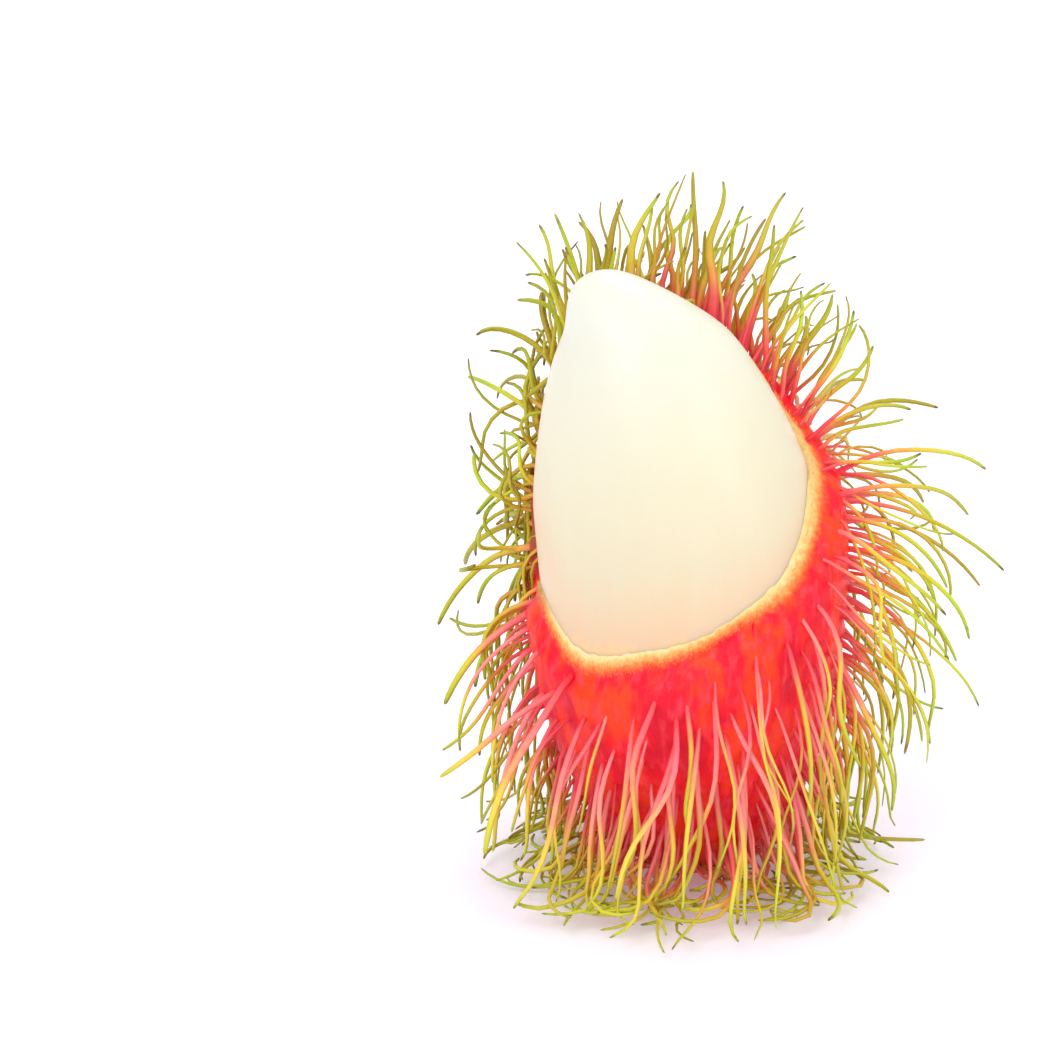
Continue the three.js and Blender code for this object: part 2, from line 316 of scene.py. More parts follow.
# Soft spine of a ripe rambutan, grown: a limp waxy filament. It gives the eye a red root that
# pales to pink, then orange, then a yellow or green end with a dry brown point.
spineLook = {
    "fade": [(0.0, "#F20A28"), (0.1, "#F01C36"), (0.24, "#F0586A"), (0.38, "#F88E74"),
             (0.5, "#FAB460"), (0.64, "#F2CE50"), (0.84, "#E2D244"), (0.97, "#C4C838"),
             (1.0, "#8A7A2A")],
    "leafyFade": [(0.0, "#D81030"), (0.18, "#E62C42"), (0.34, "#EE6248"), (0.45, "#E89C38"),
                  (0.56, "#DEC830"), (0.74, "#C2D22C"), (0.95, "#A6BC28"), (1.0, "#5A5420")],
    "dusk": "#9C6214",  # olive-brown, partly painted shade on the spines behind, high at the left and low down, and partly a drier brown at random
    "duskShare": 0.62,
    "shadeFrom": (0.3, 0.6),  # as the fade goes on
    "flushAndHighlight": "#FFAAA4",  # the salmon of the palest spines, partly their own colour and partly painted highlight, strongest in front
    "flushAndHighlightShare": 0.62,
    "flushAndHighlightFrom": (0.03, 0.14), "flushAndHighlightUpTo": (0.56, 0.36),
    "blotchSize": 1.4, "blotches": 0.2,
    "grainSize": 0.3,
    "roughness": 0.38,
}


def makeSpineMaterial():
    look = spineLook
    material, tree = newMaterial("waxySpine")
    place = addNode(tree, "TexCoord").outputs["Object"]
    fade, leafy, tone, dusk = [
        addNode(tree, "Attribute", {"attribute_name": name}).outputs["Fac"]
        for name in ("fade", "leafy", "tone", "dusk")]
    blotch = addNode(tree, "TexNoise", {
        "Scale": perMetre(look["blotchSize"]), "Detail": 3}, {"Vector": place})
    blotched = shifted(tree, fade, blotch, look["blotches"])
    golden, green = [addNode(tree, "ValToRGB", {"stops": look[name]}, {"Fac": blotched})
                     for name in ("fade", "leafyFade")]
    colour = addNode(tree, "Mix", {"data_type": "RGBA"}, {0: leafy, 6: golden, 7: green})
    # the olive-brown of painted shade and dryness takes the outer part of a spine, and the salmon
    # flush with its painted highlight the inner part, past its root
    for cast, amount, ramp, ends in (
            ("dusk", dusk, "LINEAR", ["shadeFrom"]),
            ("flushAndHighlight", tone, "SMOOTHSTEP", ["flushAndHighlightFrom", "flushAndHighlightUpTo"])):
        for none, full in (look[end] for end in ends):
            along = addNode(tree, "MapRange", {
                "From Min": none, "From Max": full, "interpolation_type": ramp}, {"Value": fade})
            amount = addNode(tree, "Math", {"operation": "MULTIPLY"}, {0: amount, 1: along})
        share = addNode(tree, "Math", {"operation": "MULTIPLY", 1: look[cast + "Share"]},
                        {0: amount})
        colour = addNode(tree, "Mix", {"data_type": "RGBA", 7: linear(look[cast])},
                         {0: share, 6: colour})
    grain = addNode(tree, "TexNoise", {
        "Scale": perMetre(look["grainSize"]), "Detail": 2}, {"Vector": place})
    bump = addNode(tree, "Bump", {"Strength": 0.35, "Distance": 0.06 * mm}, {"Height": grain})
    shader = addNode(tree, "BsdfPrincipled", {"Roughness": look["roughness"], "IOR": 1.4},
                     {"Base Color": colour, "Normal": bump})
    finishMaterial(tree, shader)
    return material


# Rambutan flesh, grown: firm translucent jelly, moist from peeling. It gives the eye an even
# ivory with light deep inside it, hardly any edge or gloss, and a peach near the rind that is
# painted reflected light of the red rind, and painted shade.
fleshLook = {
    "ivory": "#E1E2D5", "cream": "#E1DDC5", "sand": "#DED4B4", "peach": "#E4C6A2",
    "gold": "#F6CC94",
    "fibreSize": 1.6,
    "drawnOut": 0.12,  # the fibres run up the flesh, and are this narrow for their length
    "drift": 0.12,
    "roughness": 0.33,
}


def makeFleshMaterial():
    look = fleshLook
    material, tree = newMaterial("moistFlesh")
    place = addNode(tree, "TexCoord").outputs["Object"]
    # painted reflected light and shade: the flesh turns peach near the torn edge and warmer at its
    # left outline
    depth = addNode(tree, "Attribute", {"attribute_name": "depth"}).outputs["Fac"]
    drawn = addNode(tree, "Mapping", {"Scale": (1, 1, look["drawnOut"])}, {"Vector": place})
    fibres = addNode(tree, "TexNoise", {
        "Scale": perMetre(look["fibreSize"]), "Detail": 3, "Roughness": 0.5}, {"Vector": drawn})
    colour = addNode(tree, "ValToRGB", {"stops": [
        (0.05, look["ivory"]), (0.35, look["cream"]), (0.72, look["sand"]),
        (0.95, look["peach"]), (1.0, look["gold"])]},
        {"Fac": shifted(tree, depth, fibres, look["drift"])})
    bump = addNode(tree, "Bump", {"Strength": 0.25, "Distance": 0.15 * mm}, {"Height": fibres})
    shader = addNode(tree, "BsdfPrincipled", {
        "Roughness": look["roughness"], "IOR": 1.38, "Subsurface Weight": 0.7,
        "Subsurface Scale": 2.5 * mm, "Subsurface Radius": (1.0, 0.8, 0.55)},
        {"Base Color": colour, "Normal": bump})
    finishMaterial(tree, shader)
    return material


# where the spines grow and how they stand, by the law the solids follow
spines = {
    "sites": 374, "siteJitter": 1.1, "lowestSite": 1.2, "narrowestRing": 2, "rimMargin": 1.7,
    # the thinner spines that fill in between the others
    "finerSites": 11000, "finerFirst": 1000, "finerMargin": 0.5,
    "finerLength": (0.62, 0.95), "finerLongLength": (0.75, 1.05),  # long in front and on top
    # how deep a root sits, and how far its start turns to stand out of the skin
    "rootDepth": 1.3, "rootDepthFront": 0.85, "rootLift": 0.5, "rootLiftFront": 0.12,
    "rootShare": 0.12,
    "rootAtEdge": 1.3,  # the roots sink this much further where the rind thins at its torn edge
    "rootEdgeReach": 3.4,
    # heights between which a region begins, and how far a place faces each way
    "levelHeight": 36.5, "upper": (38, 47), "topmost": (46, 56), "underneath": (2, 14),
    "lowUpTo": (6, 22), "leftFrom": (22, 32),
    "front": (0.2, 0.9), "behind": (0.1, 0.75), "left": (0.2, 0.8), "right": (0, 0.6),
    "frontLean": (0.05, 0.5), "steepest": -100, "droopPower": 1.4, "tipPower": 4,
    "curveSteps": 24,
    "floorLift": 0.3, "lowest": 0.02,
    "floorPile": 1.4,  # spines that run along the floor lie over one another by up to this much
    "floorEase": 5,  # below this height they start to level out
    "floorReached": 0.25,  # a low root's spine is up off the floor by this share of its length
    "floorTurn": 22, "levelLeast": 0.3,
    # how far apart the roots of the finer ones are at least
    "gapFront": 2.35, "gapSide": 1.75, "gapHigh": 0.92, "gapLeft": 0.7, "gapLow": 1.5,
    "gapParting": 1.1, "gapFlank": 2.5,
    # how wide they are, as a share of the straight spine's width
    "finerWidth": 0.82, "frontWidth": 0.86, "sideWidth": 0.88, "highWidth": 0.92,
    "leftWidth": 1.2, "flankWidth": 1.85, "widthSpread": 0.3,
    # the left flank, under the torn edge, where the finer ones reach straight out
    "flankLeft": (0.6, 0.85), "flankFront": (-0.12, 0.12), "flankFrom": (14, 22),
    "flankUpTo": (30, 36), "flankRise": -14, "flankDroop": 24,
    # this many of the high ones are broad flat blades at their foot
    "bladeShare": 0.22, "bladeFrom": 0.5, "bladeWidth": 1.3, "bladeFlatness": 0.5,
    "wave": 2.3, "waveHigh": 0.9, "waveTurns": (0.5, 0.9), "waveTurnsHigh": (0.9, 1.7),
    "waveFull": 0.7,
}
rise = {"perMm": 3.2, "most": 70, "perMmBehind": 8, "mostBehind": 78, "crowdedLeft": 14,
        "spreadLow": 13, "spreadHigh": 20, "leap": 29, "leapFrom": 40.5, "leapTo": 45.5}
fall = {"perMm": 3.5, "most": -66, "front": -62}
droop = {"low": 62, "high": 40, "behind": 20, "front": 38, "spreadLow": 22, "spreadHigh": 34}
length = {"low": 17, "high": 12.5, "top": 14.5, "front": 20, "spread": 3, "underneath": 0.56,
          "left": 0.78}
turn = {"start": 24, "sweep": 36, "floorSweep": 70, "hook": 95, "hookShare": 0.35, "curl": 130,
        "curlShare": 0.4}
# the finer ones that hardly face the front, by less than upToFront, hook and curl more, most of
# all at the left, and the high ones tip aside, to the left there and to the right behind
wild = {"upToFront": 0.3, "hook": 120, "curl": 130, "share": 0.5, "tipPower": 2.8, "lean": 0.7,
        "leftHook": 330, "leftCurl": 300, "leftPower": 1.5, "leftShare": 0.85,
        "leftLean": 0.8, "leftLength": 1.25, "leastHook": 0.45, "highCurls": 0.55,
        "partingHeight": 40, "partingReach": 8, "partingSpread": 45,
        "sideFall": 0.5, "sideDroop": 18}


def heightsByArea():
    # cumulative area of the rind from its foot up, as pairs of area and height
    steps = 240
    table = [(0, 0)]
    for step in range(1, steps + 1):
        low = fruit["fleshTop"] * (step - 1) / steps
        high = fruit["fleshTop"] * step / steps
        slant = math.hypot(high - low, rindRadius(high) - rindRadius(low))
        around = math.pi * (rindRadius(high) + rindRadius(low))
        table.append((table[-1][0] + slant * around, high))
    return table


areaTable = heightsByArea()


def heightAt(share):
    wanted = share * areaTable[-1][0]
    step = 1
    while areaTable[step][0] < wanted:
        step += 1
    below, above = areaTable[step - 1], areaTable[step]
    return lerp(below[1], above[1], (wanted - below[0]) / (above[0] - below[0]))


def spineSites(count, first, margin):
    sites = []
    for number in range(count):
        index = first + number
        z = heightAt((number + 0.5) / count) + spines["siteJitter"] * spread(index, 1)
        radius = rindRadius(z)
        if z < spines["lowestSite"] or radius < spines["narrowestRing"]:
            continue
        angle = index * goldenAngle + spines["siteJitter"] * spread(index, 2) / radius
        x = rindAxisX(z) + radius * math.cos(angle)
        y = radius * math.sin(angle)
        if z > rimHeight(x, y) - margin:
            continue
        sites.append({"index": index, "angle": angle, "place": Vector((x, y, z)),
                      "width": 1, "length": 1, "finer": False})
    return sites


def facing(angle):
    # how far a place faces the front, the back and the left
    return (smooth(-math.sin(angle), *spines["front"]),
            smooth(math.sin(angle), *spines["behind"]),
            smooth(-math.cos(angle), *spines["left"]))


def parting(z):
    # 1 at the height where the wild ones part, some up and some down
    return 1 - smooth(abs(z - wild["partingHeight"]), 0, wild["partingReach"])


def spinePose(site):
    index, angle, z = site["index"], site["angle"], site["place"].z
    front, behind, left = facing(angle)
    high = smooth(z, *spines["upper"])
    above = z - spines["levelHeight"]
    if above > 0:
        steepness = lerp(rise["perMm"], rise["perMmBehind"], behind)
        leap = rise["leap"] * smooth(z, rise["leapFrom"], rise["leapTo"]) * (1 - behind)
        free = min(above * steepness + leap, lerp(rise["most"], rise["mostBehind"], behind))
        free += rise["crowdedLeft"] * left * high
    else:
        free = max(above * fall["perMm"], fall["most"])
    droopHigh = lerp(droop["high"], droop["behind"], behind)
    lengthHigh = lerp(length["high"], length["top"], smooth(z, *spines["topmost"]))
    aloft = smooth(z, *spines["underneath"])
    flank = onFlank(site)
    isWild = site["finer"] and max(front, flank) < wild["upToFront"]
    leftHigh = left * smooth(z, *spines["leftFrom"])
    curly = leftHigh * lerp(1, wild["highCurls"], high)
    hook = lerp(wild["hook"], wild["leftHook"], curly) if isWild else turn["hook"]
    curl = lerp(wild["curl"], wild["leftCurl"], curly) if isWild else turn["curl"]
    wildPower = lerp(wild["tipPower"], wild["leftPower"], leftHigh)
    wildShare = lerp(wild["share"], wild["leftShare"], leftHigh)
    hooked = scatter(index, 5) < (wildShare if isWild else turn["hookShare"])
    curled = scatter(index, 9) < (wildShare if isWild else turn["curlShare"])
    bend = spread(index, 6)
    if isWild:
        # a hook that only undid the droop would leave a straight stick
        least = wild["leastHook"] * leftHigh * (1 - high)
        bend = math.copysign(lerp(least, 1, abs(bend)), bend)
    lean = lerp(*spines["frontLean"], scatter(index, 20))
    lean *= front * (1 - smooth(math.cos(angle), *spines["right"]))
    leftLength = length["left"]
    if isWild:
        aside = lerp(-wild["lean"], wild["leftLean"], left)
        lean += aside * high * scatter(index, 25)
        leftLength = lerp(leftLength, wild["leftLength"], behind * high)
        standing = smooth(z, *spines["lowUpTo"]) * (1 - high)
        free *= lerp(1, wild["sideFall"], standing)
        free += wild["partingSpread"] * parting(z) * spread(index, 27)
    freeLength = lerp(lerp(length["low"], lengthHigh, high), length["front"], front)
    straightOut = flank if site["finer"] else 0
    risen = lerp(free, fall["front"], front)
    drooped = lerp(lerp(droop["low"], droopHigh, high), droop["front"], front)
    if isWild:
        drooped += wild["sideDroop"] * standing
    return {
        "rise": lerp(risen, spines["flankRise"], straightOut)
        + lerp(rise["spreadLow"], rise["spreadHigh"], high) * spread(index, 3),
        "droop": lerp(drooped, spines["flankDroop"], straightOut)
        + lerp(droop["spreadLow"], droop["spreadHigh"], high) * spread(index, 4),
        "hook": hook * bend if hooked else 0,
        "turn": turn["start"] * spread(index, 7),
        "sweep": lerp(turn["floorSweep"], turn["sweep"], aloft) * spread(index, 8),
        "curl": curl * spread(index, 10) if curled else 0,
        "lean": lean,
        "tipPower": wildPower if isWild else spines["tipPower"],
        "length": (freeLength + length["spread"] * spread(index, 11))
        * lerp(length["underneath"], 1, aloft)
        * lerp(1, leftLength, leftHigh),
        "front": front, "behind": behind, "left": left, "high": high, "flank": flank,
        "low": 1 - smooth(z, *spines["lowUpTo"]),
    }


def spineLine(site, pose):
    # points from root to tip; what meets the floor levels out and runs on along it
    index, angle = site["index"], site["angle"]
    normal = outward(site["place"].z, angle)
    slant = pose["front"]
    rootLift = lerp(spines["rootLift"], spines["rootLiftFront"], slant)
    rootDepth = lerp(spines["rootDepth"], spines["rootDepthFront"], slant)
    toEdge = rimHeight(site["place"].x, site["place"].y) - site["place"].z
    rootDepth += spines["rootAtEdge"] * (1 - smooth(toEdge, 0, spines["rootEdgeReach"]))
    points = [site["place"] - normal * rootDepth]
    steps = spines["curveSteps"]
    stride = (pose["length"] * site["length"] + spines["rootDepth"]) / steps
    floor = spines["floorLift"] + scatter(index, 21) * spines["floorPile"]
    swing = 0
    for step in range(1, steps + 1):
        t = (step - 0.5) / steps
        fallen = pose["droop"] * t ** spines["droopPower"]
        tip = t ** pose["tipPower"]
        tilt = math.radians(max(pose["rise"] - fallen + pose["hook"] * tip, spines["steepest"]))
        heading = angle + math.radians(pose["turn"] + pose["sweep"] * t + pose["curl"] * tip)
        way = Vector((
            math.cos(heading) * math.cos(tilt) - pose["lean"] * t,
            math.sin(heading) * math.cos(tilt),
            math.sin(tilt),
        )).normalized()
        if t < spines["rootShare"]:
            way = way.lerp(normal, rootLift).normalized()
        last = points[-1]
        low = 1 - smooth(last.z - floor, 0, spines["floorEase"])
        if way.z < 0 and low > 0:
            level = Vector((way.x, way.y, 0))
            if level.length < spines["levelLeast"]:
                level = Vector((math.cos(angle), math.sin(angle), 0))
            swing += low * spines["floorTurn"] * spread(index, 24)
            level = Matrix.Rotation(math.radians(swing), 3, "Z") @ level.normalized()
            way = way.lerp(level, low).normalized()
        here = last + way * stride
        here.z = max(here.z, floor * min(1, t / spines["floorReached"]))
        points.append(here)
    return points


def onFlank(site):
    # 1 on the left flank under the torn edge, where spines are long and stout
    angle, z = site["angle"], site["place"].z
    aside = smooth(-math.cos(angle), *spines["flankLeft"])
    forward = smooth(-math.sin(angle), *spines["flankFront"])
    return (aside * forward * smooth(z, *spines["flankFrom"])
            * (1 - smooth(z, *spines["flankUpTo"])))


def rootGap(site):
    # how far a finer spine keeps from its neighbours
    z = site["place"].z
    front, behind, left = facing(site["angle"])
    leftHigh = left * smooth(z, *spines["leftFrom"])
    gap = lerp(spines["gapSide"], spines["gapHigh"], smooth(z, *spines["upper"]))
    gap = lerp(gap, spines["gapFront"], front)
    gap = lerp(spines["gapLow"], gap, smooth(z, *spines["lowUpTo"]))
    gap = lerp(gap, spines["gapParting"], behind * parting(z))
    return lerp(lerp(gap, spines["gapLeft"], leftHigh), spines["gapFlank"], onFlank(site))


def allSites():
    sites = spineSites(spines["sites"], 0, spines["rimMargin"])
    cell = spines["gapFront"]
    cells = {}

    def cellOf(place):
        return tuple(math.floor(value / cell) for value in place)

    def keep(site):
        cells.setdefault(cellOf(site["place"]), []).append(site["place"])

    for site in sites:
        keep(site)
    finer = []
    steps = (-1, 0, 1)
    for site in spineSites(spines["finerSites"], spines["finerFirst"], spines["finerMargin"]):
        gap = rootGap(site)
        i, j, k = cellOf(site["place"])
        near = [place for a in steps for b in steps for c in steps
                for place in cells.get((i + a, j + b, k + c), [])]
        if any((site["place"] - place).length < gap for place in near):
            continue
        front, behind = facing(site["angle"])[:2]
        longer = max(front, behind * smooth(site["place"].z, *spines["upper"]))
        flank = onFlank(site)
        reach = scatter(site["index"], 22)
        site["length"] = lerp(lerp(*spines["finerLength"], reach),
                              lerp(*spines["finerLongLength"], reach), max(longer, flank))
        site["width"] = spines["finerWidth"] * lerp(1, spines["flankWidth"], flank)
        site["finer"] = True
        keep(site)
        finer.append(site)
    print("spines:", len(sites), "and finer ones:", len(finer))
    return sites + finer


# the flesh
flesh = {
    "segments": 112, "rings": 80,
    "unevenness": 0.16, "lumpSize": 9,
    "lumpsFrom": 4,  # the lumps fade out where the flesh is narrower than this
    "reflectionAndShadeReach": 32,  # how far above the torn edge the peach cast of painted reflected light and shade starts
    "seatHeight": 27, "levelShare": 0.55,
    "edgeReflection": 0.2,  # painted reflected light: the outline at the left is this much warmer, up to the warmest
    "edge": (0.75, 1), "warmFull": 3, "warmest": 0.88,
}


def makeFlesh():
    deselectAll()
    bpy.ops.mesh.primitive_uv_sphere_add(
        segments=flesh["segments"], ring_count=flesh["rings"], radius=fruit["fleshRadius"] * mm)
    piece = newest("flesh_segment")
    reflectionAndShadeValues = []
    for vertex in piece.data.vertices:
        aim = vertex.co.normalized()
        z = lerp(fruit["fleshBottom"], fruit["fleshTop"], (aim.z + 1) / 2)
        ring = fleshRadius(z)
        lump = noise.noise(Vector((aim.x, aim.y, z / fruit["fleshRadius"]))
                           * fruit["fleshRadius"] / flesh["lumpSize"])
        flat = math.hypot(aim.x, aim.y)
        ring += flesh["unevenness"] * lump * min(1, ring / flesh["lumpsFrom"])
        away = ring / flat if flat > 1e-6 else 0
        x = fleshAxisX(z) + aim.x * away
        y = aim.y * away
        vertex.co = Vector((x, y, z)) * mm
        # painted reflected light of the rind and painted shade, near the torn edge and at the left
        # outline
        above = lerp(z - rimHeight(x, y), z - flesh["seatHeight"], flesh["levelShare"])
        warm = flesh["edgeReflection"] * smooth(-aim.x, *flesh["edge"])
        warm *= smooth(above, 0, flesh["warmFull"])
        seat = 1 - above / flesh["reflectionAndShadeReach"]
        reflectionAndShadeValues.append(min(1, max(0, seat, min(seat + warm, flesh["warmest"]))))
    pointValues(piece.data, "depth", reflectionAndShadeValues)
    makeActive(piece)
    bpy.ops.object.shade_smooth()
    piece.data.materials.append(makeFleshMaterial())
    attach(piece, "root")
    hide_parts("aril")
    print("flesh:", len(piece.data.polygons), "faces")


# the skin: out from the foot, up to the torn edge, over it and down the inside
skin = {
    "columns": 260, "outerRows": 116, "lipRows": 8, "innerRows": 36, "mergeWithin": 0.002,
    "thinning": 0.74,  # this share of the wall is gone at the torn edge
    "thinningDepth": 2.8,
    "lipPuff": 0.12,
    "cling": 0.52,  # the pith clings this far in from the hollow's wall, to the flesh
    "clingDepth": (0.6, 3),
    "lipRise": 0.45,  # it clings this much higher up the flesh than the red skin
    "jag": 0.36, "jagSize": 0.8,
    "fuzz": 0.1, "fuzzSize": 0.3,
    # the mound round each root
    "moundDrop": 1.2, "moundHeight": 0.28, "moundRadius": 0.9, "moundReach": 2.7, "moundMost": 0.9,
    "lumpHeight": 0.25, "lumpSize": 5, "unevenFrom": (0.4, 4),  # the foot is left flat
    "tornDepth": 1.0,  # the red skin pales over this much before the edge
    "tornAtEdge": 0.3,
    "softDepth": 2.2,  # and over this much where the edge is softest
    "softAtEdge": 0.7,
    # at the right and at the lower left: middle and half width in radians, and how soft
    "softAngles": [(-0.2, 1.05, 1), (-2.75, 0.5, 0.15)], "softMiddle": 0.5,
    # painted shade high on the left side of the skin: how far a place faces left, and the heights
    # over which it comes in
    "shadeLeft": (0.75, 0.97), "shadeFrom": (27, 33),
    # the stalk's scar, in the middle of the foot
    "footUpTo": 1, "footAim": 0.3, "scarDent": (0.8, 1.7), "scarDepth": 0.45,
    "scarStain": (1.2, 2.2),
}


def outerPoint(z, angle, radius=None):
    if radius is None:
        radius = rindRadius(z)
    return Vector((rindAxisX(z) + radius * math.cos(angle), radius * math.sin(angle), z))


def cavityPoint(z, angle, clinging=1):
    # a point on the inside of the rind, or on the pith where it still clings
    radius = cavityRadius(z) - skin["cling"] * clinging
    return Vector((fleshAxisX(z) + radius * math.cos(angle), radius * math.sin(angle), z))


def outerProfile():
    # points of arc length, radius and height, from the middle of the foot upwards
    foot = rindRadius(0)
    profile = [(0, 0, 0), (foot, foot, 0)]
    steps = 700
    for step in range(1, steps + 1):
        z = fruit["fleshTop"] * step / steps
        before = profile[-1]
        run = before[0] + math.hypot(rindRadius(z) - before[1], z - before[2])
        profile.append((run, rindRadius(z), z))
    return profile


def tornHeight(pointAt, angle):
    # the height at which the outside or the hollow meets the torn edge
    step = 0.05
    z = tear["height"] / 2  # well below the whole edge
    while z < fruit["fleshTop"]:
        point = pointAt(z, angle)
        jag = skin["jag"] * noise.noise(point / skin["jagSize"])
        if z > rimHeight(point.x, point.y) + jag:
            break
        z += step
    return z


def onProfile(profile, value, entry):
    # the profile's point at an arc length (entry 0) or a height (entry 2)
    low, high = 1 if entry == 2 else 0, len(profile) - 1
    while high - low > 1:
        middle = (low + high) // 2
        if profile[middle][entry] > value:
            high = middle
        else:
            low = middle
    share = (value - profile[low][entry]) / (profile[high][entry] - profile[low][entry])
    return [lerp(profile[low][part], profile[high][part], share) for part in range(3)]


def edgeOfColumn(profile, angle):
    outerZ = tornHeight(outerPoint, angle)
    innerZ = tornHeight(cavityPoint, angle) + skin["lipRise"]
    outer, inner = outerPoint(outerZ, angle), cavityPoint(innerZ, angle)
    wall = math.hypot(outer.x - inner.x, outer.y - inner.y)
    thinned = outerPoint(outerZ, angle, rindRadius(outerZ) - skin["thinning"] * wall)
    return {"run": onProfile(profile, outerZ, 2)[0], "wall": wall, "outer": thinned,
            "inner": inner}


def softness(angle):
    # how soft the torn edge is, round the fruit
    soft = 0
    for middle, reach, strength in skin["softAngles"]:
        away = abs((angle - middle + math.pi) % (2 * math.pi) - math.pi)
        soft = max(soft, strength * (1 - smooth(away, skin["softMiddle"] * reach, reach)))
    return soft


def makeSkin(sites):
    deselectAll()
    rows = skin["outerRows"] + skin["lipRows"] + skin["innerRows"]
    bpy.ops.mesh.primitive_grid_add(
        x_subdivisions=skin["columns"], y_subdivisions=rows, size=2)
    piece = newest("rind_skin")
    profile = outerProfile()
    roots = KDTree(len(sites))
    for number, site in enumerate(sites):
        slant = facing(site["angle"])[0]
        roots.insert(site["place"] - Vector((0, 0, skin["moundDrop"] * slant)), number)
    roots.balance()
    edges = {}
    torn, scar, shade = [], [], []
    for vertex in piece.data.vertices:
        angle = math.pi * (vertex.co.x + 1)
        key = round(vertex.co.x, 5)
        if key not in edges:
            # the first and the last column are the same one
            edges[key] = edges[-1.0] if key == 1 else edgeOfColumn(profile, angle)
        edge = edges[key]
        soft = softness(angle)
        atEdge = lerp(skin["tornAtEdge"], skin["softAtEdge"], soft)
        row = (vertex.co.y + 1) / 2 * rows
        lipRow = row - skin["outerRows"]
        tornHere = 1
        if lipRow <= 0:
            run, radius, z = onProfile(profile, edge["run"] * row / skin["outerRows"], 0)
            toEdge = edge["run"] - run
            thin = skin["thinning"] * (1 - smooth(toEdge, 0, skin["thinningDepth"]))
            point = outerPoint(z, angle, radius - thin * edge["wall"])
            tornDepth = lerp(skin["tornDepth"], skin["softDepth"], soft)
            tornHere = atEdge * (1 - smooth(toEdge, 0, tornDepth))
            swell = 0
            for root in roots.find_range(point, skin["moundReach"]):
                away = root[2] / skin["moundRadius"]  # its distance
                swell += skin["moundHeight"] * math.exp(-away ** 2)
            lump = noise.noise(point / skin["lumpSize"]) * skin["lumpHeight"]
            lifted = (min(swell, skin["moundMost"]) + lump) * smooth(z, *skin["unevenFrom"])
            point += outward(max(z, skin["footAim"]), angle) * lifted
            if z < skin["footUpTo"]:
                dent = 1 - smooth(math.hypot(point.x, point.y), *skin["scarDent"])
                point.z += skin["scarDepth"] * dent
            point.z = max(point.z, 0)
        elif lipRow <= skin["lipRows"]:
            share = lipRow / skin["lipRows"]
            point = edge["outer"].lerp(edge["inner"], share)
            fuzz = skin["fuzz"] * noise.noise(point / skin["fuzzSize"])
            point.z += skin["lipPuff"] * math.sin(math.pi * share) + fuzz
            tornHere = lerp(atEdge, 1, share)
        else:
            share = (lipRow - skin["lipRows"]) / skin["innerRows"]
            z = lerp(edge["inner"].z, fruit["cavityBottom"], math.sin(share * math.pi / 2))
            point = cavityPoint(z, angle, 1 - smooth(edge["inner"].z - z, *skin["clingDepth"]))
        vertex.co = point * mm
        torn.append(tornHere)
        # painted shade: the skin is browned high on its left side
        leftSide = smooth(-math.cos(angle), *skin["shadeLeft"])
        shade.append(leftSide * smooth(point.z, *skin["shadeFrom"]))
        atFoot = point.z < skin["footUpTo"] and lipRow <= 0
        darkening = 1 - smooth(math.hypot(point.x, point.y), *skin["scarStain"])
        scar.append(darkening if atFoot else 0)
    pointValues(piece.data, "torn", torn)
    pointValues(piece.data, "scar", scar)
    pointValues(piece.data, "shade", shade)
    makeActive(piece)
    editAll()
    bpy.ops.mesh.remove_doubles(threshold=skin["mergeWithin"] * mm)
    faceOutwards()
    piece.data.materials.append(makeSkinMaterial())
    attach(piece, "root")
    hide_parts("rind")
    print("skin:", len(piece.data.polygons), "faces")


# the spines: one straight spine is modelled, and each copy is bent along its own line
straightSpine = {
    "sides": 5, "finerSides": 4,
    "length": 18,
    "rows": [  # share of the length, and width there as a share of the root's
        (0.07, 0.78), (0.14, 0.62), (0.23, 0.56), (0.33, 0.53), (0.43, 0.51), (0.53, 0.49),
        (0.62, 0.46), (0.71, 0.43), (0.79, 0.39), (0.86, 0.36), (0.93, 0.32), (0.985, 0.22),
    ],
    "rootRadius": 0.62, "flatness": 0.75, "twist": 70,
    "slimRoot": 0.42, "slimUpTo": 0.3,  # those in front are this slim at the root
    "ringReach": 0.01,
}
# how the colour runs: which share of a spine is red, how far it is leafy, how pale it is, partly
# as painted highlight, and how olive-brown, partly as painted shade
tint = {"red": 0.32, "redBehind": 0.43, "redFront": 0.44, "redLeft": 0.14, "redFlank": 0.62,
        "redSpread": 0.3, "fadeAtRed": 0.45, "leafy": 0.9, "leafyFront": 0.25,
        "leafySpread": 0.35, "leafyLoose": 0.25, "leastTone": 0.35, "dusk": (0.1, 0.5),
        "shadeAndDrySpread": 0.55}


def makeStraightSpine(sides):
    tall = straightSpine["length"] * mm
    root = straightSpine["rootRadius"] * mm
    piece = standingCone("straight_spine", sides, root, tall)
    for share, width in straightSpine["rows"]:
        editAll()
        bpy.ops.mesh.bisect(plane_co=(0, 0, share * tall), plane_no=(0, 0, 1))
        bpy.ops.object.mode_set(mode="OBJECT")
        for vertex in piece.data.vertices:
            if abs(vertex.co.z - share * tall) < straightSpine["ringReach"] * mm:
                swell = root * width / math.hypot(vertex.co.x, vertex.co.y)
                vertex.co.x *= swell
                vertex.co.y *= swell
    return piece


def joined(name, straight, meshes):
    # one piece of all the meshes, in place of the straight one they were copied from
    bpy.data.objects.remove(straight)
    deselectAll()
    copies = [bpy.data.objects.new("copy", mesh) for mesh in meshes]
    for copy in copies:
        bpy.context.collection.objects.link(copy)
    for copy in copies:
        copy.select_set(True)
    bpy.context.view_layer.objects.active = copies[0]
    bpy.ops.object.join()
    piece = newest(name)
    faceOutwards()
    return piece


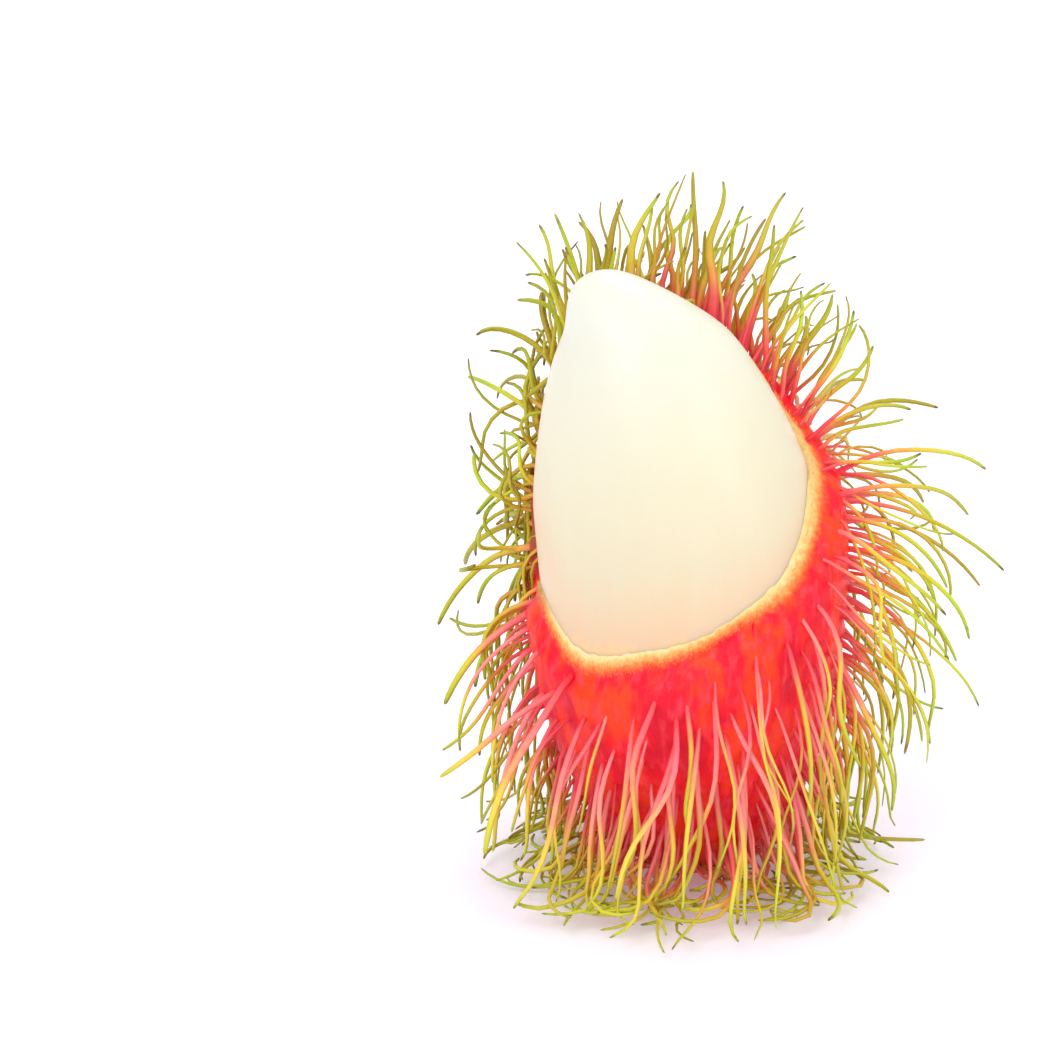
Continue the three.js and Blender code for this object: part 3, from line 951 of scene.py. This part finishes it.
def frameAlong(points, start):
    # a side and an upper direction at each point, carried along without turning
    side = start
    frames = []
    for number in range(len(points)):
        ahead = points[min(number + 1, len(points) - 1)]
        behind = points[max(number - 1, 0)]
        along = (ahead - behind).normalized()
        side = (side - along * side.dot(along)).normalized()
        frames.append((side, along.cross(side)))
    return frames


def fadeAlong(t, start):
    # 0 at the root, one fixed value where the red gives way, 1 at the tip
    if t < start:
        return tint["fadeAtRed"] * t / start
    return lerp(tint["fadeAtRed"], 1, (t - start) / (1 - start))


def bendSpine(straight, site):
    pose = spinePose(site)
    points = spineLine(site, pose)
    index, angle = site["index"], site["angle"]
    frames = frameAlong(points, Vector((-math.sin(angle), math.cos(angle), 0)))
    steps = spines["curveSteps"]
    tall = straightSpine["length"] * mm
    widen = (1 + spines["widthSpread"] * spread(index, 12)) * site["width"] / mm
    loose = pose["high"] * max(pose["behind"], pose["left"])
    leftHigh = pose["left"] * smooth(site["place"].z, *spines["leftFrom"])
    aside = lerp(spines["sideWidth"], spines["highWidth"], loose)
    widen *= lerp(lerp(aside, spines["leftWidth"], leftHigh), spines["frontWidth"], pose["front"])
    isBlade = loose > spines["bladeFrom"] and scatter(index, 26) < spines["bladeShare"]
    blade = spines["bladeWidth"] if isBlade else 0
    flatness = spines["bladeFlatness"] if isBlade else straightSpine["flatness"]
    wave = lerp(spines["wave"], spines["waveHigh"], loose) * spread(index, 17)
    waveTurns = lerp(lerp(*spines["waveTurns"], scatter(index, 23)),
                     lerp(*spines["waveTurnsHigh"], scatter(index, 23)), loose)
    waveStart = 2 * math.pi * scatter(index, 18)
    twist = math.radians(straightSpine["twist"]) * spread(index, 13)
    redShare = lerp(lerp(tint["red"], tint["redBehind"], pose["behind"]), tint["redFront"],
                    pose["front"])
    redShare *= 1 + tint["redSpread"] * spread(index, 14)
    flank = pose["flank"]
    redShare = lerp(redShare, tint["redLeft"], leftHigh * (1 - pose["front"]) * (1 - flank))
    redShare = lerp(redShare, tint["redFlank"], flank)
    mesh = straight.data.copy()
    places, fades = [], []
    for vertex in mesh.vertices:
        t = vertex.co.z / tall
        step = min(int(t * steps), steps - 1)
        share = t * steps - step
        point = points[step].lerp(points[step + 1], share)
        side = frames[step][0].lerp(frames[step + 1][0], share)
        over = frames[step][1].lerp(frames[step + 1][1], share)
        flat = Matrix.Rotation(twist * t, 2) @ Vector((
            vertex.co.x, vertex.co.y * lerp(flatness, 1, t * t))) * (1 + blade * (1 - t))
        slim = lerp(straightSpine["slimRoot"], 1, smooth(t, 0, straightSpine["slimUpTo"]))
        flat *= lerp(1, slim, pose["front"])
        swing = math.sin(waveStart + 2 * math.pi * waveTurns * t)
        swing *= smooth(t, 0, spines["waveFull"])
        point = point + (side * flat.x + over * flat.y) * widen + side * wave * swing
        point.z = max(point.z, spines["lowest"])
        places.extend(point * mm)
        fades.append(fadeAlong(t, redShare))
    mesh.vertices.foreach_set("co", places)
    count = len(mesh.vertices)
    # painted shade: the spines behind, high at the left and low down take more of the olive-brown,
    # over a random share of it
    inFront = max(pose["front"], flank)
    shaded = max(max(pose["behind"], leftHigh) * (1 - flank), pose["low"])
    leafy = lerp(tint["leafy"], tint["leafyFront"], inFront * (1 - pose["low"]))
    leafy += tint["leafySpread"] * spread(index, 15) - tint["leafyLoose"] * loose
    pointValues(mesh, "fade", fades)
    # painted highlight: the salmon flush is random, and stronger on the spines in front and on the
    # flank
    for name, value in (("leafy", leafy),
                        ("tone", scatter(index, 16) * lerp(tint["leastTone"], 1, inFront)),
                        ("dusk", lerp(*tint["dusk"], shaded)
                         + tint["shadeAndDrySpread"] * spread(index, 19))):
        pointValues(mesh, name, [min(1, max(0, value))] * count)
    return mesh


def makeSpines(name, sites, sides, material):
    straight = makeStraightSpine(sides)
    piece = joined(name, straight, [bendSpine(straight, site) for site in sites])
    piece.data.materials.append(material)
    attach(piece, "root")
    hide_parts("rind")
    print(name, len(sites), "copies,", len(piece.data.polygons), "faces")


# Fibres of the torn pith, dry and soft, that stand up along the edge
fibre = {
    "count": 1100,
    "radius": 0.04, "lengths": (0.2, 0.65),
    "colour": "#FFDE9C", "rootColour": "#FF9C5A",
    "softPaler": 0.4,  # how much paler they are where the edge is soft
    "patchSize": 1.5, "patches": 0.6,
    "across": (-0.15, 0.6),  # from the outside of the torn edge to its inside
    "sideways": 0.9, "outwards": 0.35,
}


def makeFibreMaterial():
    material, tree = newMaterial("tornPithFibre")
    place = addNode(tree, "TexCoord").outputs["Object"]
    patch = addNode(tree, "TexNoise", {"Scale": perMetre(fibre["patchSize"])}, {"Vector": place})
    torn = addNode(tree, "Attribute", {"attribute_name": "torn"}).outputs["Fac"]
    colour = addNode(tree, "ValToRGB", {"stops": [
        (0.0, fibre["rootColour"]), (0.55, fibre["colour"])]},
        {"Fac": shifted(tree, torn, patch, fibre["patches"])})
    shader = addNode(tree, "BsdfPrincipled", {"Roughness": 0.7, "IOR": 1.35},
                     {"Base Color": colour})
    finishMaterial(tree, shader)
    return material


def makeFibres():
    straight = standingCone("straight_fibre", 3, fibre["radius"] * mm, mm)
    profile = outerProfile()
    meshes = []
    for number in range(fibre["count"]):
        angle = 2 * math.pi * (number + scatter(number, 31)) / fibre["count"]
        edge = edgeOfColumn(profile, angle)
        inwards = lerp(*fibre["across"], scatter(number, 32))
        foot = edge["outer"].lerp(edge["inner"], inwards)
        around = Vector((-math.sin(angle), math.cos(angle), 0))
        out = Vector((math.cos(angle), math.sin(angle), 0))
        way = (Vector((0, 0, 1)) + around * fibre["sideways"] * spread(number, 33)
               + out * fibre["outwards"] * scatter(number, 34)).normalized()
        turned = way.to_track_quat("Z", "Y").to_matrix()
        tall = lerp(*fibre["lengths"], scatter(number, 35))
        mesh = straight.data.copy()
        for vertex in mesh.vertices:
            grown = Vector((vertex.co.x, vertex.co.y, vertex.co.z * tall))
            vertex.co = foot * mm + turned @ grown
        paleness = max(0, inwards) + fibre["softPaler"] * softness(angle)
        pointValues(mesh, "torn", [paleness] * len(mesh.vertices))
        meshes.append(mesh)
    piece = joined("rind_fibres", straight, meshes)
    piece.data.materials.append(makeFibreMaterial())
    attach(piece, "root")
    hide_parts("rind")
    print("fibres:", len(meshes))


# floor, light and camera
studio = {
    "floorSize": 4000, "floorColour": "#EEECF8", "grainSize": 40,
    "floorGlow": 0.18,  # the board lets some light through from below
    "worldColour": "#FFFFFF", "worldStrength": 0.85,
    # name: (from, size, watts), aimed at the fruit's middle
    "lights": {
        "keySoftbox": ((-450, -650, 900), 700, 5),
        "fillSoftbox": ((800, -500, 450), 700, 2.5),
        "backSoftbox": ((150, 700, 900), 600, 3),
    },
    "lightAim": (-5, 0, 32),
}
shot = {
    "aim": (-16.65, 0, 36),
    "distance": 450,
    "elevation": 18,
    "frameWidth": 105.5,  # what the frame spans at the aim
    "sensorWidth": 36,
    "clip": (0.01, 20),  # in metres
}


def makeFloor():
    deselectAll()
    bpy.ops.mesh.primitive_plane_add(size=studio["floorSize"] * mm)
    floor = newest("floor")
    material, tree = newMaterial("mattStudioBoard")
    place = addNode(tree, "TexCoord").outputs["Object"]
    grain = addNode(tree, "TexNoise", {
        "Scale": perMetre(studio["grainSize"]), "Detail": 2}, {"Vector": place})
    rough = addNode(tree, "MapRange", {"To Min": 0.55, "To Max": 0.75}, {"Value": grain})
    colour = linear(studio["floorColour"])
    shader = addNode(tree, "BsdfPrincipled", {
        "Base Color": colour, "IOR": 1.3, "Emission Color": colour,
        "Emission Strength": studio["floorGlow"]}, {"Roughness": rough})
    finishMaterial(tree, shader)
    floor.data.materials.append(material)


def makeLights():
    world = bpy.data.worlds.new("paleStudio")
    world.use_nodes = True
    background = world.node_tree.nodes["Background"]
    background.inputs["Color"].default_value = linear(studio["worldColour"])
    background.inputs["Strength"].default_value = studio["worldStrength"]
    bpy.context.scene.world = world
    aim = Vector(studio["lightAim"]) * mm
    for name, (place, size, watts) in studio["lights"].items():
        place = Vector(place) * mm
        turned = (aim - place).to_track_quat("-Z", "Y").to_euler()
        bpy.ops.object.light_add(type="AREA", location=place, rotation=turned)
        light = bpy.context.active_object
        light.name = name
        light.data.size = size * mm
        light.data.energy = watts


def makeCamera():
    aim = Vector(shot["aim"]) * mm
    tilt = math.radians(shot["elevation"])
    back = Vector((0, -math.cos(tilt), math.sin(tilt)))
    bpy.ops.object.camera_add(
        location=aim + back * shot["distance"] * mm, rotation=(math.pi / 2 - tilt, 0, 0))
    camera = bpy.context.active_object
    camera.data.sensor_width = shot["sensorWidth"]
    camera.data.lens = shot["sensorWidth"] * shot["distance"] / shot["frameWidth"]
    camera.data.clip_start, camera.data.clip_end = shot["clip"]
    bpy.context.scene.camera = camera


makeFloor()
makeLights()
makeCamera()
bpy.context.scene.view_settings.view_transform = "Standard"
print("studio made")
sites = allSites()
makeFlesh()
makeSkin(sites)
spineMaterial = makeSpineMaterial()
for name, finer, sides in (("rind_spines", False, straightSpine["sides"]),
                           ("rind_fine_spines", True, straightSpine["finerSides"])):
    makeSpines(name, [site for site in sites if site["finer"] == finer], sides, spineMaterial)
makeFibres()
